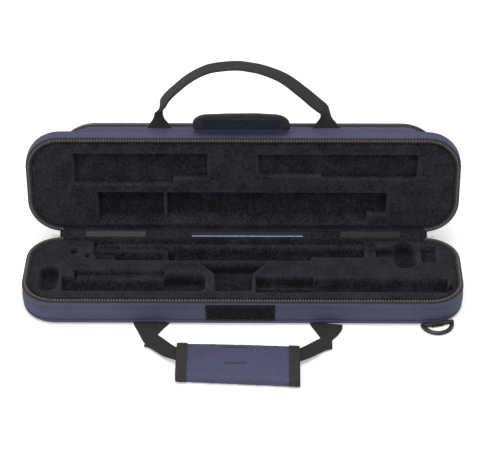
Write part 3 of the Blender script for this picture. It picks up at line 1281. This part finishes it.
def grip_strip(z, direction, seed):
    """Hook or loop tape lying flat inside the grip's front edge."""
    length = GRIP_LENGTH - 2 * END_BINDING - 0.004
    verts, faces, uvs = fuzzy_slab(length, GRIP_TAPE_WIDTH, 0.0009, 0.00012, seed)
    share = verts[:, 0] / (GRIP_LENGTH / 2)
    front = LEAF_FRONT + LEAF_SET_BACK + 0.002
    flat = np.column_stack([verts[:, 0] + GRIP_X, front + verts[:, 2] - 0.003 * share,
                            z - direction * verts[:, 1]])
    return flat, faces, uvs


for tape, z, direction, seed, body in (("hook", FRONT_Z, -1, 33, "base_handle"),
                                       ("loop", LOOP_TAPE_Z, 1, 34, "grip_leaf")):
    make_piece(f"grip_{tape}_tape", grip_strip(z, direction, seed), loop_pile, body,
               [f"grip_{tape}_strip"])

# two short bar tacks sewn through the grip hold it on the strap
tacks = []
for y, z in ((FOLD_Y - 0.0025, 0.0144), (FOLD_Y - 0.0245, 0.0140)):
    for shift in (-0.0004, 0.0004):
        tack_line = [(x, y + shift, z) for x in np.linspace(TACK_LEFT, TACK_RIGHT, 12)]
        tacks.append(stitch_row(tack_line, [(0, 0, 1)] * 12, 0.0018, 0.0004, 0.0004))
make_piece("grip_tacks", join_shapes(*tacks), black_thread, "base_handle")

# ---------------------------------------------------------------- rings, sliders and pulls
# Bent wire rings in webbing tabs, and cast sliders with flat pulls, all in black
# enamel that is worn thin where metal rubs on metal.

enamel = make_flecked("black_enamel", (0.018, 0.018, 0.018), 0.32, (0.003, 4.0), (0.8, 1.9), 0.00006,
                      metallic=0.35)
dress(("ring_front", "ring_rear", "zip_slider_left", "zip_slider_right", "zip_pull_left", "zip_pull_right",
       "pocket_slider", "pocket_pull"), enamel)

RING_TURN = math.radians(13)
RING_Z = 0.0031
TAB_HALF = 0.00595
TAB_HEM = 0.0006
TAB_OUTER, TAB_INNER = 0.0031, 0.00228


def ring_tab(rear):
    """Webbing wrapped round the ring's bar, its tail tucked under the rolled edge."""
    turn = np.radians(np.linspace(-112, 200, 22))
    wrap = [(radius * math.cos(a), RING_Z + radius * math.sin(a))
            for radius, angles in ((TAB_OUTER, turn), (TAB_INNER, turn[::-1])) for a in angles]
    tail = [(-0.0046, 0.0001), (0.0, 0.0001), (0.0, 0.0008), (-0.0046, 0.0008)]
    rows = [-TAB_HALF, TAB_HEM - TAB_HALF, TAB_HALF - TAB_HEM, TAB_HALF]
    verts, faces, uvs = join_shapes(*(
        ([(x, out, up) for x in rows for out, up in profile],
         *skin(4, len(profile), rows, np.arange(len(profile) + 1) * 0.0008)) for profile in (wrap, tail)))
    c, s = math.cos(RING_TURN), math.sin(RING_TURN)
    x, y = verts[:, 0], -verts[:, 1] - CORNER - 0.0003
    placed = np.column_stack([CASE_LENGTH / 2 - CORNER + x * c - y * s,
                              -CASE_DEPTH / 2 + CORNER + x * s + y * c, verts[:, 2]])
    if rear:
        placed[:, :2] *= -1
    return placed, faces, uvs


for end in ("front", "rear"):
    make_piece(f"ring_webbing_{end}", ring_tab(end == "rear"), webbing_black, "base",
               [f"ring_tab_{end}"])

for side in ("left", "right"):
    low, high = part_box(f"zip_end_{side}")
    verts, faces, uvs = fuzzy_slab(high.x - low.x, high.z - low.z, 0.0008, 0.00002, 50, 0.001)
    verts = np.column_stack([-verts[:, 0] + (low.x + high.x) / 2, low.y - verts[:, 1], verts[:, 2] + low.z])
    make_piece(f"chain_end_tape_{side}", (verts, faces, uvs), zip_tape, "base",
               [f"zip_end_{side}"])

# ---------------------------------------------------------------- table, light and camera
# A plain white table top under soft, even studio light, seen from the front and above.

TABLE_HALF = 6.0
TABLE_GLOW = 0.38
ROOM_LIGHT = 0.45
ELEVATION = math.radians(36.05)
AZIMUTH = math.radians(0.80)
ROLL = math.radians(0.33)
CAMERA_DISTANCE = 1.749
LENS = 127.6
TARGET = Vector((0.00766, 0.0, 0.0843))


def mix_by(tree, factor, first, second, output):
    """Shows the second shader in the output where factor is 1, and the first one where it is 0."""
    mix = tree.nodes.new("ShaderNodeMixShader")
    tree.links.new(factor, mix.inputs["Fac"])
    tree.links.new(first, mix.inputs[1])
    tree.links.new(second, mix.inputs[2])
    tree.links.new(mix.outputs["Shader"], tree.nodes[output].inputs["Surface"])


def make_table():
    material, tree, shader = new_finish("table_white", (0.86, 0.86, 0.86), 0.6)
    shade_between(tree, shader, grain(tree, 0.2, 2.0), (1, 1, 1), 0.85, 0.87)
    seen = tree.nodes.new("ShaderNodeLightPath")
    glow = tree.nodes.new("ShaderNodeEmission")
    glow.inputs["Strength"].default_value = TABLE_GLOW
    both = tree.nodes.new("ShaderNodeAddShader")
    tree.links.new(shader.outputs["BSDF"], both.inputs[0])
    tree.links.new(glow.outputs["Emission"], both.inputs[1])
    mix_by(tree, seen.outputs["Is Camera Ray"], shader.outputs["BSDF"], both.outputs["Shader"],
           "Material Output")
    return material


def make_table_top():
    mesh = bpy.data.meshes.new("table_top")
    corners = [(x * TABLE_HALF, y * TABLE_HALF, 0) for x, y in ((-1, -1), (1, -1), (1, 1), (-1, 1))]
    mesh.from_pydata(corners, [], [(0, 1, 2, 3)])
    mesh.materials.append(make_table())
    table = bpy.data.objects.new("table_top", mesh)
    table.location.z = -0.0002
    bpy.context.scene.collection.objects.link(table)
    table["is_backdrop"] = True


def soft_light(name, place, size, power):
    lamp = bpy.data.lights.new(name, "AREA")
    lamp.shape = "DISK"
    lamp.size = size
    lamp.energy = power
    light = bpy.data.objects.new(name, lamp)
    light.location = place
    light.rotation_mode = "QUATERNION"
    light.rotation_quaternion = (Vector((0, 0, 0.08)) - Vector(place)).to_track_quat("-Z", "Y")
    bpy.context.scene.collection.objects.link(light)


def light_the_room():
    world = bpy.data.worlds.new("studio")
    world.use_nodes = True
    tree = world.node_tree
    background = tree.nodes["Background"]
    background.inputs["Color"].default_value = (1, 1, 1, 1)
    background.inputs["Strength"].default_value = ROOM_LIGHT
    white = tree.nodes.new("ShaderNodeBackground")
    white.inputs["Strength"].default_value = 1.0
    seen = tree.nodes.new("ShaderNodeLightPath")
    sees = arithmetic(tree, "MAXIMUM", seen.outputs["Is Camera Ray"], seen.outputs["Is Glossy Ray"])
    mix_by(tree, sees, background.outputs["Background"], white.outputs["Background"], "World Output")
    bpy.context.scene.world = world
    soft_light("overhead_softbox", (0.0, -0.5, 1.9), 1.4, 29)
    soft_light("front_softbox", (-1.0, -1.8, 1.0), 1.2, 12)


def place_camera():
    back = Vector((math.sin(AZIMUTH) * math.cos(ELEVATION), -math.cos(AZIMUTH) * math.cos(ELEVATION),
                   math.sin(ELEVATION)))
    lens = bpy.data.cameras.new("photo_view")
    lens.lens = LENS
    lens.sensor_width = 36.0
    lens.clip_start, lens.clip_end = 0.1, 30.0
    camera = bpy.data.objects.new("photo_view", lens)
    camera.location = TARGET + back * CAMERA_DISTANCE
    camera.rotation_mode = "QUATERNION"
    camera.rotation_quaternion = (-back).to_track_quat("-Z", "Y")
    camera.rotation_mode = "XYZ"
    camera.rotation_euler.rotate_axis("Z", -ROLL)
    bpy.context.scene.collection.objects.link(camera)
    bpy.context.scene.camera = camera


make_table_top()
light_the_room()
place_camera()
bpy.context.scene.view_settings.view_transform = "Standard"

low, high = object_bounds()
